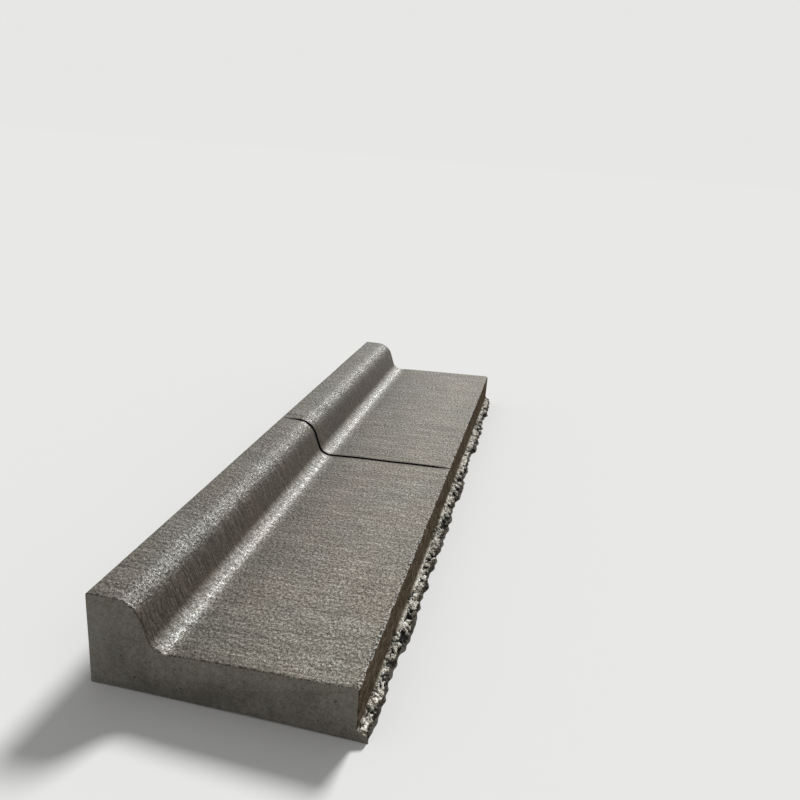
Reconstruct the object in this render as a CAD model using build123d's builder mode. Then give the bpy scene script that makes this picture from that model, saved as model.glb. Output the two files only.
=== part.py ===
"""One length of slip-formed concrete kerb and gutter.

The kerb head, the gutter pan and the foot are one casting. A slip-form machine extrudes the
section, and a finisher draws a grooving tool over it every 3 m, so a tooled joint crosses the
whole section and runs out near the back edge and at the lip, where the tool comes down and
lifts off. This length is one bay of the run, with its joint at mid-length, so lengths set end
to end repeat both the section and the spacing of the joints.

X runs from the back of the kerb to the lip of the gutter, Y along the kerb and Z up. The origin
is the middle of the underside. All sizes are in millimetres.
"""

from build123d import *
import os

# The length and the gutter
length = 3048.0  # one bay, 10 ft from joint to joint
width = 813.0  # back of the kerb to the lip, 32 in
flow_depth = 152.0  # concrete under the flow line, 6 in
lip_rise = 25.0  # fall of the pan from the lip to the flow line
lip_radius = 3.0  # arris left by the machine's side plate

# The kerb head, given by the corners that its flat faces would make without their curves
kerb_rise = 152.0  # top of the kerb above the flow line, 6 in
top_width = 152.0  # back to the corner of top and face
base_width = 206.0  # back to the corner of face and pan
shoulder_radius = 89.0
flow_radius = 47.0
back_radius = 12.0

# The foot, concrete that crept out under the machine's side plate
foot_width = 50.0
foot_height = 38.0
foot_edge_height = 25.0
foot_root_radius = 6.0
foot_edge_radius = 14.0

# The tooled joint
joint_mouth = 13.0  # slot between the rounded edges, cut by a 1/2 in bit
joint_floor = 8.0
joint_depth = 38.0
joint_edge_radius = 6.0  # of the bit's shoulders, 1/4 in
joint_edge_lift = 0.4  # how far the rounding ends above the surface, which leaves a faint arris
tool_headroom = 10.0  # how far the tool stands above the surface
tool_down_inset = 48.0  # where the tool comes down, in from the back
tool_off_inset = 28.0  # where the tool lifts off, in from the lip
tool_turn_radius = 36.0  # of the tool's path as it comes down on the surface and as it lifts off
tool_lift = 60.0  # height above the surface at which the tool starts and ends

# Places that follow from the sizes
back_x = -(width + foot_width) / 2
lip_x = back_x + width
foot_x = lip_x + foot_width
kerb_top = flow_depth + kerb_rise
lip_top = flow_depth + lip_rise
shoulder_corner = (back_x + top_width, kerb_top)
flow_corner = (back_x + base_width, flow_depth)
pan_slope = lip_rise / (width - base_width)

with BuildPart() as kerb_and_gutter:
    # The cast section, from the back of the kerb over the head and the pan to the foot
    with BuildSketch(Plane.XZ):
        with BuildLine():
            FilletPolyline(
                (back_x, 0),
                (back_x, kerb_top),
                shoulder_corner,
                flow_corner,
                (lip_x, lip_top),
                (lip_x, foot_height),
                (foot_x, foot_edge_height),
                (foot_x, 0),
                radius=[
                    back_radius,
                    shoulder_radius,
                    flow_radius,
                    lip_radius,
                    foot_root_radius,
                    foot_edge_radius,
                ],
            )
            Line((foot_x, 0), (back_x, 0))
        make_face()
    extrude(amount=length / 2, both=True)

    # The way of the grooving tool, down on the top, over the head and the pan, and off at the lip
    tool_down_x = back_x + tool_down_inset
    tool_off_x = lip_x - tool_off_inset
    with BuildLine(Plane.XZ) as tool_path:
        FilletPolyline(
            (tool_down_x, kerb_top + tool_lift),
            (tool_down_x, kerb_top),
            shoulder_corner,
            flow_corner,
            (tool_off_x, lip_top - tool_off_inset * pan_slope),
            (tool_off_x, lip_top + tool_lift),
            radius=[tool_turn_radius, shoulder_radius, flow_radius, tool_turn_radius],
        )

    # The tool's own section: a tapered blade under two rounded edges
    tool_start = Plane(origin=tool_path.line @ 0, x_dir=(0, 1, 0), z_dir=tool_path.line % 0)
    half_mouth = joint_mouth / 2
    half_tool = half_mouth + joint_edge_radius
    blade_top = joint_edge_lift - joint_edge_radius
    with BuildSketch(tool_start) as tool_section:
        with BuildLine():
            CenterArc((-half_tool, blade_top), joint_edge_radius, 90, -90)
            Polyline(
                (-half_mouth, blade_top),
                (-joint_floor / 2, -joint_depth),
                (joint_floor / 2, -joint_depth),
                (half_mouth, blade_top),
            )
            CenterArc((half_tool, blade_top), joint_edge_radius, 180, -90)
            Polyline(
                (half_tool, joint_edge_lift),
                (half_tool, tool_headroom),
                (-half_tool, tool_headroom),
                (-half_tool, joint_edge_lift),
            )
        make_face()
    sweep(sections=tool_section.sketch, path=tool_path.line, mode=Mode.SUBTRACT)

kerb_and_gutter.part.label = "kerb_and_gutter"

os.makedirs("parts", exist_ok=True)
export_step(kerb_and_gutter.part, "parts/kerb_and_gutter.step")
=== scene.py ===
"""One length of fresh slip-formed kerb and gutter, dressed and set in a plain studio.

The casting is one closed mesh. Its section is laid out once, point by point, from the back of the
kerb over the head and the pan to the crumbled foot, and is repeated along the kerb. Relief only
cuts into the section, so the casting stays inside its nominal size. The tooled joint is cut by the
same grooving tool that a finisher draws over the surface. X runs from the back of the kerb to the
lip of the gutter, Y along the kerb and Z up. Sizes are in metres.
"""

import logging
import math
from dataclasses import dataclass, field, replace
from enum import Enum
from functools import cached_property, reduce

import bmesh
import bpy
from mathutils import Matrix, Vector, noise


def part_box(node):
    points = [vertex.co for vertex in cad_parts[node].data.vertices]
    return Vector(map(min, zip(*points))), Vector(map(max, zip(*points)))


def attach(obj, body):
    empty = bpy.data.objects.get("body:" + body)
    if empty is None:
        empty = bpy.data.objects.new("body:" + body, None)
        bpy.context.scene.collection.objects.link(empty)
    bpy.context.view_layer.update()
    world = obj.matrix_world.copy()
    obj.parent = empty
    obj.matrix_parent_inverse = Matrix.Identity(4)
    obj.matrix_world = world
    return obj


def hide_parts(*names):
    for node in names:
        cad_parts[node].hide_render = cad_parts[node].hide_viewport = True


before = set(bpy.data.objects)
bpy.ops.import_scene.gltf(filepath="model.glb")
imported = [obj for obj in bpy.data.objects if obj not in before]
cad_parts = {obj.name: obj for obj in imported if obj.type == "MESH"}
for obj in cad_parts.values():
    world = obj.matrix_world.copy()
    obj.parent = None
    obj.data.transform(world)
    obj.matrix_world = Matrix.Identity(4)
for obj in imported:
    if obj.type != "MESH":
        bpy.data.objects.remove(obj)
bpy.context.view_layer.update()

NODE = "kerb_and_gutter"
PIECE = "kerb_and_gutter_cast"
MM = 0.001
MIDDLE = 0.5  # mean height of a noise
BROAD_SHARE = 0.6  # of a broad pattern that is mixed with a finer one
WARMER_RED = 0.93  # power of a tone that its red follows, so that dark tones are warm
COOLER_BLUE = 1.14  # power that its blue follows
Socket = bpy.types.NodeSocket
Value = float | Socket
Colour = tuple[float, float, float]

log = logging.getLogger("kerb")


class Stretch(Enum):
    """The stretches of the section's outline, in the order in which it is laid out."""

    BACK = "back"
    BACK_ARRIS = "back_arris"
    TOP = "top"
    SHOULDER = "shoulder"
    FACE = "face"
    FLOW = "flow"
    PAN = "pan"
    LIP_ARRIS = "lip_arris"
    LIP = "lip"
    FOOT_ROOT = "foot_root"
    FOOT_TOP = "foot_top"
    FOOT_EDGE = "foot_edge"
    FOOT_SIDE = "foot_side"
    UNDERSIDE = "underside"


class Finish(Enum):
    """The casting's finishes, in the order of its material slots."""

    BRUSHED = 0
    GROOVED = 1
    SLIPPED = 2
    CRUMBLED = 3
    FORMED = 4


class Pattern(Enum):
    """The patterns of smooth noise in the relief, each with the seed that picks it."""

    SAG = 1.3
    DRAG = 2.9
    GROOVE_DRIFT = 3.1
    STROKE = 4.4
    LIP_CHIP = 5.2
    LIP_CHIP_DETAIL = 6.6
    GROOVE_CHIP = 7.7
    BED = 8.7
    END_ARRIS = 9.4
    FOOT_REACH = 11.3
    FOOT_REACH_DETAIL = 12.8
    FIN_SEAM = 13.9
    FIN_HEIGHT = 14.6
    FIN_WIDTH = 16.2


FOOT = (Stretch.FOOT_ROOT, Stretch.FOOT_TOP, Stretch.FOOT_EDGE, Stretch.FOOT_SIDE)
UNDER_SOLE = (Stretch.BACK_ARRIS, Stretch.TOP, Stretch.PAN, Stretch.LIP_ARRIS)
HOLLOWED = (Stretch.FACE, Stretch.FLOW, Stretch.PAN)
TOOLED = (*UNDER_SOLE, Stretch.SHOULDER, Stretch.FACE, Stretch.FLOW)
SLIPPED = (Stretch.BACK, Stretch.LIP)
Starts = dict[Stretch, float]


@dataclass(frozen=True)
class Band:
    """A smooth change from one level to another.

    Attributes:
        low: Value at which the change starts.
        high: Value at which it ends.
        before: Level up to low.
        after: Level from high on.
    """

    low: float
    high: float
    before: float = 0.0
    after: float = 1.0

    def at(self, value: float) -> float:
        """Level at a value."""
        share = min(1.0, max(0.0, (value - self.low) / (self.high - self.low)))
        return self.before + (self.after - self.before) * share * share * (3.0 - 2.0 * share)

    def past(self, start: float) -> "Band":
        """The same change, with its values counted from a start."""
        return replace(self, low=start + self.low, high=start + self.high)


def rough(pattern: Pattern, *scaled: float) -> float:
    """Smooth noise between 0 and 1.

    Args:
        pattern: Which pattern it is.
        scaled: One or two places, each divided by the size of a bump.

    Returns:
        The height of the pattern there.
    """
    x, y = (*scaled, 0.0)[:2]
    return min(1.0, max(0.0, 0.5 + 0.5 * noise.noise(Vector((x, y, pattern.value)))))


def ragged(broad: float, fine: float) -> float:
    """Mixes the height of a broad pattern with that of a finer one."""
    return BROAD_SHARE * broad + (1.0 - BROAD_SHARE) * fine


@dataclass(frozen=True)
class OutlinePoint:
    """A point of the section's outline.

    Attributes:
        x: Place across the kerb.
        z: Height.
        out: Unit vector out of the concrete.
        tool: Unit vector along which the grooving tool cuts in.
        under: How far the point lies under the tool's sole.
        across: Distance along the outline from the bottom of the back.
        stretch: The stretch that the point begins or lies on.
    """

    x: float
    z: float
    out: Vector
    tool: Vector
    under: float
    across: float
    stretch: Stretch


@dataclass
class Section:
    """The cast section, whose outer sizes come from the frame."""

    back_x: float
    foot_x: float
    kerb_top: float
    flow_depth: float = 152.0 * MM
    lip_rise: float = 25.0 * MM
    lip_radius: float = 3.0 * MM
    top_width: float = 152.0 * MM
    base_width: float = 206.0 * MM
    shoulder_radius: float = 89.0 * MM
    flow_radius: float = 47.0 * MM
    back_radius: float = 12.0 * MM
    foot_width: float = 50.0 * MM
    foot_height: float = 38.0 * MM
    foot_edge_height: float = 25.0 * MM
    foot_root_radius: float = 6.0 * MM
    foot_edge_radius: float = 14.0 * MM
    spacing: dict[Stretch, float] = field(default_factory=lambda: {
        Stretch.BACK: 40.0 * MM,
        Stretch.BACK_ARRIS: 3.5 * MM,
        Stretch.TOP: 9.0 * MM,
        Stretch.SHOULDER: 6.0 * MM,
        Stretch.FACE: 6.5 * MM,
        Stretch.FLOW: 5.0 * MM,
        Stretch.PAN: 13.0 * MM,
        Stretch.LIP_ARRIS: 1.3 * MM,
        Stretch.LIP: 12.0 * MM,
        Stretch.FOOT_ROOT: 2.4 * MM,
        Stretch.FOOT_TOP: 2.4 * MM,
        Stretch.FOOT_EDGE: 2.4 * MM,
        Stretch.FOOT_SIDE: 3.0 * MM,
        Stretch.UNDERSIDE: 200.0 * MM,
    })

    @property
    def lip_x(self) -> float:
        """Place of the lip's upright face."""
        return self.foot_x - self.foot_width

    @property
    def lip_top(self) -> float:
        """Height of the pan at the lip."""
        return self.flow_depth + self.lip_rise

    @property
    def pan_slope(self) -> float:
        """Rise of the pan towards the lip for each metre across."""
        return self.lip_rise / (self.lip_x - self.back_x - self.base_width)

    def corners(self) -> list[tuple[Vector, float, Stretch, Stretch]]:
        """Lists the corners that the flat faces would make without their curves.

        Returns:
            For each its place, its radius, the stretch round it and the one after it.
        """
        back, lip, foot = self.back_x, self.lip_x, self.foot_x
        return [
            (Vector((back, self.kerb_top)), self.back_radius, Stretch.BACK_ARRIS, Stretch.TOP),
            (Vector((back + self.top_width, self.kerb_top)), self.shoulder_radius,
             Stretch.SHOULDER, Stretch.FACE),
            (Vector((back + self.base_width, self.flow_depth)), self.flow_radius,
             Stretch.FLOW, Stretch.PAN),
            (Vector((lip, self.lip_top)), self.lip_radius, Stretch.LIP_ARRIS, Stretch.LIP),
            (Vector((lip, self.foot_height)), self.foot_root_radius,
             Stretch.FOOT_ROOT, Stretch.FOOT_TOP),
            (Vector((foot, self.foot_edge_height)), self.foot_edge_radius,
             Stretch.FOOT_EDGE, Stretch.FOOT_SIDE),
        ]

    def outline(self) -> list[OutlinePoint]:
        """Lays the outline out from the bottom of the back to the bottom of the foot.

        Returns:
            The points in order, each on the stretch that starts or runs on there.
        """
        points: list[OutlinePoint] = []
        here = Vector((self.back_x, 0.0))
        toe = Vector((self.foot_x, 0.0))
        stretch = Stretch.BACK
        corners = self.corners()
        after = [corner[0] for corner in corners[1:]] + [toe]
        for (corner, radius, bend, following), beyond in zip(corners, after):
            way_in = (corner - here).normalized()
            way_out = (beyond - corner).normalized()
            turn = -way_in.angle_signed(way_out)
            bend_start = corner - way_in * (radius * math.tan(abs(turn) / 2.0))
            self._straight(points, here, bend_start, stretch)
            here = self._bend(points, bend_start, way_in, turn, radius, bend)
            stretch = following
        self._straight(points, here, toe, stretch)
        self._add(points, toe, Vector((1.0, 0.0)), stretch)
        return points

    def starts(self) -> Starts:
        """Measures where the stretches start.

        Returns:
            The distance along the outline at which each one starts.
        """
        found: Starts = {}
        for point in self.outline():
            found.setdefault(point.stretch, point.across)
        return found

    def _straight(self, points: list[OutlinePoint], start: Vector, end: Vector,
                  stretch: Stretch) -> None:
        """Adds the points of a straight stretch, without its last.

        Args:
            points: The outline so far.
            start: Where the stretch starts.
            end: Where it ends.
            stretch: Its name.
        """
        way = end - start
        steps = max(1, math.ceil(way.length / self.spacing[stretch]))
        unit = way.normalized()
        for step in range(steps):
            self._add(points, start + way * (step / steps), Vector((-unit.y, unit.x)), stretch)

    def _bend(self, points: list[OutlinePoint], start: Vector, way_in: Vector, turn: float,
              radius: float, stretch: Stretch) -> Vector:
        """Adds the points of a round stretch, without its last.

        Args:
            points: The outline so far.
            start: Where the curve leaves the straight.
            way_in: Direction of the straight.
            turn: Angle of the curve, anticlockwise positive.
            radius: Of the curve.
            stretch: Its name.

        Returns:
            Where the curve ends.
        """
        left = Vector((-way_in.y, way_in.x))
        centre = start + left * math.copysign(radius, turn)
        steps = max(2, math.ceil(radius * abs(turn) / self.spacing[stretch]))
        for step in range(steps):
            turned = Matrix.Rotation(turn * step / steps, 2)
            self._add(points, centre + turned @ (start - centre), turned @ left, stretch)
        return centre + Matrix.Rotation(turn, 2) @ (start - centre)

    def _add(self, points: list[OutlinePoint], place: Vector, out: Vector,
             stretch: Stretch) -> None:
        """Adds one point to the outline, with the way in which the grooving tool meets it.

        Args:
            points: The outline so far.
            place: Of the point, across and up.
            out: Unit vector out of the concrete.
            stretch: The stretch that the point lies on.
        """
        across = 0.0
        if points:
            last = points[-1]
            across = last.across + math.hypot(place.x - last.x, place.y - last.z)
        tool, under = -out, 0.0
        if stretch in UNDER_SOLE and place.x < self.back_x + self.top_width:
            tool = Vector((0.0, -1.0))
            under = self.kerb_top - place.y
        elif stretch in UNDER_SOLE:
            tool = Vector((self.pan_slope, -1.0)).normalized()
            under = self.lip_top - (self.lip_x - place.x) * self.pan_slope - place.y
        points.append(OutlinePoint(place.x, place.y, out, tool, max(0.0, under), across, stretch))


@dataclass
class GroovingTool:
    """The finisher's tool, a tapered blade under a sole with two rounded edges."""

    mouth: float = 13.0 * MM
    floor: float = 8.0 * MM
    blade: float = 38.0 * MM
    edge_radius: float = 6.0 * MM
    edge_lift: float = 0.4 * MM
    edge_stations: tuple[float, ...] = (1.0, 0.62, 0.36, 0.16, 0.04)
    down_inset: float = 48.0 * MM
    off_inset: float = 28.0 * MM
    turn_radius: float = 36.0 * MM
    waver: float = 1.2 * MM
    waver_length: float = 70.0 * MM
    waver_reach: float = 87.5 * MM
    chip: float = 0.7 * MM
    chip_length: float = 9.0 * MM
    chip_row: float = 4.0  # keeps the chips of the two edges apart in their pattern
    chipped: Band = Band(0.5, 0.9)

    @property
    def half_width(self) -> float:
        """From the middle of the groove to the outside of its rounded edge."""
        return self.mouth / 2.0 + self.edge_radius

    def offsets(self) -> list[float]:
        """Places the mesh's stations across the groove.

        Returns:
            Their distances from the groove's middle, in rising order.
        """
        rounded = [self.mouth / 2.0 + share * self.edge_radius for share in self.edge_stations]
        wall = [self.mouth / 2.0, (self.mouth + self.floor) / 4.0, self.floor / 2.0]
        one_side = [self.half_width + self.edge_radius] + rounded + wall
        return [-offset for offset in one_side] + [0.0] + one_side[::-1]

    def profile(self, offset: float) -> float:
        """Measures the tool's own section.

        Args:
            offset: Distance from the groove's middle.

        Returns:
            The depth that the level tool cuts there.
        """
        reach = abs(offset)
        mouth, floor = self.mouth / 2.0, self.floor / 2.0
        edge_depth = self.edge_radius - self.edge_lift
        if reach >= self.half_width:
            return 0.0
        if reach > mouth:
            rise = math.sqrt(max(0.0, self.edge_radius**2 - (self.half_width - reach) ** 2))
            return max(0.0, edge_depth - rise)
        if reach > floor:
            return edge_depth + (self.blade - edge_depth) * (mouth - reach) / (mouth - floor)
        return self.blade

    def depth(self, offset: float, across: float, run: float) -> float:
        """Measures the cut, also where the tool comes down or lifts off.

        Args:
            offset: Distance from the groove's middle.
            across: Distance along the section, which places the chips in the edges.
            run: How far the point lies past the place where the tool leaves the surface.

        Returns:
            The depth under the sole.
        """
        edge_row = math.copysign(self.chip_row, offset)
        chip = self.chipped.at(rough(Pattern.GROOVE_CHIP, across / self.chip_length, edge_row))
        level = self.profile(abs(offset) - self.chip * chip)
        if run <= 0.0 or level <= 0.0:
            return level
        reach = self.turn_radius + level
        if run >= reach:
            return 0.0
        return max(0.0, math.sqrt(reach**2 - run**2) - self.turn_radius)

    def drift(self, offset: float, across: float) -> float:
        """Measures how far the groove wavers off its line, which dies out beside it.

        Args:
            offset: Distance from the groove's middle.
            across: Distance along the section.

        Returns:
            How far the point moves along the kerb.
        """
        near = Band(self.half_width, self.waver_reach, 1.0, 0.0).at(abs(offset))
        wander = 2.0 * rough(Pattern.GROOVE_DRIFT, across / self.waver_length) - 1.0
        return near * self.waver * wander


@dataclass
class Relief:
    """How far the real surface lies under the nominal one."""

    sag: float = 2.4 * MM
    sag_length: float = 420.0 * MM
    sag_width: float = 160.0 * MM
    stroke: float = 0.5 * MM
    stroke_length: float = 90.0 * MM
    stroke_spacing: float = 19.0 * MM
    drag: float = 0.8 * MM
    drag_length: float = 500.0 * MM
    drag_width: float = 22.0 * MM
    chip: float = 5.0 * MM
    chip_length: float = 34.0 * MM
    chip_detail: float = 14.0 * MM
    chipped: Band = Band(0.42, 0.75)
    dip: float = 2.0 * MM
    dip_place: float = 14.0 * MM
    dip_kerb_side: float = 17.0 * MM
    dip_lip_side: float = 60.0 * MM
    bed: float = 5.0 * MM
    bed_size: float = 45.0 * MM

    def invert(self, from_pan: float) -> float:
        """Measures the hollow that the machine leaves along the flow line.

        Args:
            from_pan: Distance from the start of the pan, positive towards the lip.

        Returns:
            A depth of 0 or more.
        """
        away = from_pan - self.dip_place
        width = self.dip_kerb_side if away < 0.0 else self.dip_lip_side
        return self.dip * math.exp(-(away / width) ** 2)

    def body(self, point: OutlinePoint, y: float) -> float:
        """Measures the relief on the head, the pan, the upright faces and the underside.

        Args:
            point: Where on the section.
            y: Where along the kerb.

        Returns:
            A depth of 0 or more.
        """
        if point.stretch is Stretch.UNDERSIDE:
            return self.bed * rough(Pattern.BED, point.x / self.bed_size, y / self.bed_size)
        across = point.across
        depth = self.sag * rough(Pattern.SAG, across / self.sag_width, y / self.sag_length)
        if point.stretch in SLIPPED:
            return depth + self.drag * rough(
                Pattern.DRAG, across / self.drag_width, y / self.drag_length)
        return depth + self.stroke * rough(
            Pattern.STROKE, across / self.stroke_length, y / self.stroke_spacing)

    def chips(self, y: float) -> float:
        """Measures how far the lip's arris is broken away.

        Args:
            y: Where along the kerb.

        Returns:
            A depth of 0 or more.
        """
        broken = ragged(rough(Pattern.LIP_CHIP, y / self.chip_length),
                        rough(Pattern.LIP_CHIP_DETAIL, y / self.chip_detail))
        return self.chip * self.chipped.at(broken)


@dataclass
class CrumbledFoot:
    """Concrete that crept out under the side plate and crumbled."""

    reach_loss: float = 0.5
    reach_length: float = 210.0 * MM
    reach_detail: float = 46.0 * MM
    short: Band = Band(0.3, 0.78)
    fin_width: float = 15.0 * MM
    fin_length: float = 90.0 * MM
    fin_share: Band = Band(0.38, 0.62)
    fin_edge: float = 1.0 * MM
    fin_dip: float = 2.0 * MM
    fin_dip_length: float = 12.0 * MM
    crack_width: float = 5.0 * MM
    crack: float = 7.0 * MM
    crack_length: float = 26.0 * MM
    crack_open: Band = Band(0.4, 0.6)
    lump_size: float = 29.0 * MM
    crevice: float = 8.0 * MM
    crevice_width: Band = Band(0.0, 0.24, 1.0, 0.0)
    crumb_size: float = 12.0 * MM
    crumb: float = 4.5 * MM
    crumb_steepness: float = 1.3
    crumb_power: float = 1.5
    grit_size: float = 5.5 * MM
    grit: float = 2.6 * MM
    pocket_size: float = 62.0 * MM
    pocket: float = 18.0 * MM
    pocket_fineness: float = 0.6
    pocket_step: float = 2.1
    pocket_layers: int = 3
    pocketed: Band = Band(0.0, 0.4)
    outer: Band = Band(12.0 * MM, 32.0 * MM)

    @property
    def deep(self) -> float:
        """Depth at which a hollow is painted black as shade."""
        return self.crevice + self.crumb + self.grit

    def reach(self, y: float) -> float:
        """Measures how far out the foot reaches.

        Args:
            y: Where along the kerb.

        Returns:
            A share of its full width.
        """
        drawn_in = ragged(rough(Pattern.FOOT_REACH, y / self.reach_length),
                          rough(Pattern.FOOT_REACH_DETAIL, y / self.reach_detail))
        return 1.0 - self.reach_loss * self.short.at(drawn_in)

    def crumbs(self, place: Vector, outer: float) -> float:
        """Measures the hollows between lumps, crumbs and grit, and the pockets where some fell out.

        Args:
            place: Place of the nominal point.
            outer: How far it lies on the outer part of the foot, from 0 to 1.

        Returns:
            A depth of 0 or more.
        """
        nearest, second = noise.voronoi(place / self.lump_size)[0][:2]
        between_crumbs = noise.voronoi(place / self.crumb_size)[0][0] ** self.crumb_power
        between_grit = noise.voronoi(place / self.grit_size)[0][0]
        pockets = noise.fractal(place / self.pocket_size, self.pocket_fineness, self.pocket_step,
                                self.pocket_layers)
        depth = self.crevice * self.crevice_width.at(second - nearest)
        depth += self.crumb * min(1.0, self.crumb_steepness * between_crumbs)
        depth += self.grit * min(1.0, between_grit)
        return depth + self.pocket * outer * self.pocketed.at(pockets)

    def depth(self, place: Vector, from_lip: float) -> float:
        """Measures how far the crumbled surface lies under the nominal one.

        Args:
            place: Place of the nominal point.
            from_lip: Its distance from the lip's face along the surface.

        Returns:
            A depth of 0 or more.
        """
        y = place.y
        fin_width = self.fin_width * self.fin_share.at(rough(Pattern.FIN_WIDTH, y / self.fin_length))
        loose = Band(fin_width - self.fin_edge, fin_width + self.crack_width).at(from_lip)
        outer = self.outer.at(from_lip)
        depth = self.crumbs(place, outer) * (1.0 - outer * (1.0 - self.reach(y)))
        gap = from_lip - fin_width - self.crack_width / 2.0
        seam = math.exp(-(gap / (0.5 * self.crack_width)) ** 2)
        opened = self.crack_open.at(rough(Pattern.FIN_SEAM, y / self.crack_length))
        fin = self.fin_dip * rough(Pattern.FIN_HEIGHT, y / self.fin_dip_length)
        return fin + loose * depth + self.crack * seam * opened


@dataclass
class Casting:
    """The whole casting as one closed mesh."""

    section: Section
    tool: GroovingTool
    relief: Relief
    foot: CrumbledFoot
    half_length: float
    station: float = 8.6 * MM
    fine_from: float = 0.6  # shortest space that the foot divides, as a share of station
    foot_parts: int = 4
    end_ease: float = 3.0 * MM
    end_least: float = 0.5  # least share of end_ease by which an end's arris is worn
    end_chip_length: float = 14.0 * MM
    sharp_angle: float = math.radians(55.0)

    def __post_init__(self) -> None:
        """Lays out the section and the stations along the kerb."""
        self.starts = self.section.starts()
        outline = self.section.outline()
        first_foot = next(i for i, point in enumerate(outline) if point.stretch in FOOT)
        self.foot_points = outline[first_foot:]
        self.body_points = self._underside(outline[-1]) + outline[:first_foot]
        self.stations = self._stations()
        self.positions: list[Vector] = []
        self.across: list[float] = []
        self.cut: list[float] = []
        self.hollow: list[float] = []
        self.faces: list[list[int]] = []
        self.finishes: list[int] = []

    def _underside(self, toe: OutlinePoint) -> list[OutlinePoint]:
        """Lays out the underside between the foot and the back.

        Args:
            toe: The outline's last point, at the bottom of the foot.

        Returns:
            Its points, without those at the foot and at the back.
        """
        width = toe.x - self.section.back_x
        steps = math.ceil(width / self.section.spacing[Stretch.UNDERSIDE])
        down = Vector((0.0, -1.0))
        return [
            OutlinePoint(toe.x - width * step / steps, 0.0, down, -down, 0.0,
                         -width * (steps - step) / steps, Stretch.UNDERSIDE)
            for step in range(1, steps)
        ]

    def _stations(self) -> list[float]:
        """Places the mesh's stations, close together at the joint and at the ends.

        Returns:
            Their places along the kerb, in rising order.
        """
        offsets = self.tool.offsets()
        start, end = offsets[-1], self.half_length - self.end_ease
        steps = round((end - start) / self.station)
        run = [start + (end - start) * step / steps for step in range(1, steps + 1)]
        run.append(self.half_length)
        return [-place for place in reversed(run)] + offsets + run

    def _run(self, point: OutlinePoint) -> float:
        """Measures how far a point lies past the place where the tool leaves the surface.

        Args:
            point: Where on the section.

        Returns:
            A distance across the kerb, negative where the tool is down.
        """
        section, tool = self.section, self.tool
        came_down = section.back_x + tool.down_inset + tool.turn_radius
        lean = math.radians(90.0) - math.atan(section.pan_slope)
        lifts_off = section.lip_x - tool.off_inset - tool.turn_radius * math.tan(lean / 2.0)
        return max(came_down - point.x, point.x - lifts_off)

    def _cut_depth(self, point: OutlinePoint, offset: float) -> float:
        """Measures the tooled joint.

        Args:
            point: Where on the section.
            offset: Distance from the groove's middle.

        Returns:
            A depth of 0 or more.
        """
        if point.stretch not in TOOLED or abs(offset) >= self.tool.half_width:
            return 0.0
        return max(0.0, self.tool.depth(offset, point.across, self._run(point)) - point.under)

    def _ease(self, y: float) -> float:
        """How far the section is drawn in at an end's arris."""
        return 0.0 if abs(y) < self.half_length - 0.5 * self.end_ease else self.end_ease

    def _body_vertex(self, point: OutlinePoint, offset: float) -> int:
        """Adds one vertex of the head, the pan, an upright face or the underside.

        Args:
            point: Where on the section.
            offset: The station along the kerb.

        Returns:
            The vertex's number.
        """
        y = offset + self.tool.drift(offset, point.across)
        cut = self._cut_depth(point, offset)
        depth = self.relief.body(point, y)
        if point.stretch in HOLLOWED:
            depth += self.relief.invert(point.across - self.starts[Stretch.PAN])
        depth *= max(0.0, 1.0 - cut / self.tool.edge_radius)
        chip = rough(Pattern.END_ARRIS, point.across / self.end_chip_length, offset)
        depth += self._ease(offset) * (self.end_least + chip)
        way = point.out
        if self.starts[Stretch.LIP_ARRIS] <= point.across <= self.starts[Stretch.LIP]:
            depth += self.relief.chips(y)
            way = Vector((1.0, 1.0))
        inward = point.tool * cut - way * depth
        place = Vector((point.x + inward.x, y, point.z + inward.y))
        return self._vertex(place, point.across, cut / self.tool.edge_radius, 0.0)

    def _foot_vertex(self, point: OutlinePoint, y: float) -> int:
        """Adds one vertex of the crumbled foot.

        Args:
            point: Where on the section.
            y: Where along the kerb.

        Returns:
            The vertex's number.
        """
        lip_x = self.section.lip_x
        base = Vector((lip_x + (point.x - lip_x) * self.foot.reach(y), y, point.z))
        from_lip = point.across - self.foot_points[0].across
        depth = self.foot.depth(base, from_lip) if point.z > 0.0 else 0.0
        eased = self._ease(y)
        if eased > 0.0:
            depth = min(depth, eased)
        x = max(lip_x - self.foot.crack, base.x - point.out.x * depth - eased)
        z = min(point.z, max(0.0, base.z - point.out.y * depth))
        if point is self.foot_points[0]:
            x, z = base.x - self.relief.body(point, y) - eased, point.z
        hollow = min(1.0, depth / self.foot.deep)
        return self._vertex(Vector((x, y, z)), point.across, 0.0, hollow)

    def _vertex(self, place: Vector, across: float, cut: float, hollow: float) -> int:
        """Adds one vertex with its marks for the materials.

        Args:
            place: Of the vertex.
            across: Distance along the section.
            cut: Depth in the joint, where 1 is past its rounded edge.
            hollow: Depth in the foot's hollows, where 1 is painted black as shade.

        Returns:
            The vertex's number.
        """
        self.positions.append(place)
        self.across.append(across)
        self.cut.append(min(1.0, cut))
        self.hollow.append(hollow)
        return len(self.positions) - 1

    def _add_face(self, corners: list[int], finish: Finish) -> None:
        """Adds one face."""
        self.faces.append(corners)
        self.finishes.append(finish.value)

    def _finish_between(self, point: OutlinePoint, corners: list[int]) -> Finish:
        """Picks the finish of a face of the body.

        Args:
            point: The point of the section that the face starts at.
            corners: Its vertices.

        Returns:
            The finish.
        """
        if all(self.cut[corner] > 0.0 for corner in corners):
            return Finish.GROOVED
        if point.stretch is Stretch.UNDERSIDE:
            return Finish.CRUMBLED
        return Finish.SLIPPED if point.stretch in SLIPPED else Finish.BRUSHED

    def _foot_row(self, y: float) -> list[int]:
        """Adds the foot's vertices at one place along the kerb, from its root to its toe."""
        return [self._foot_vertex(point, y) for point in self.foot_points]

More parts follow.
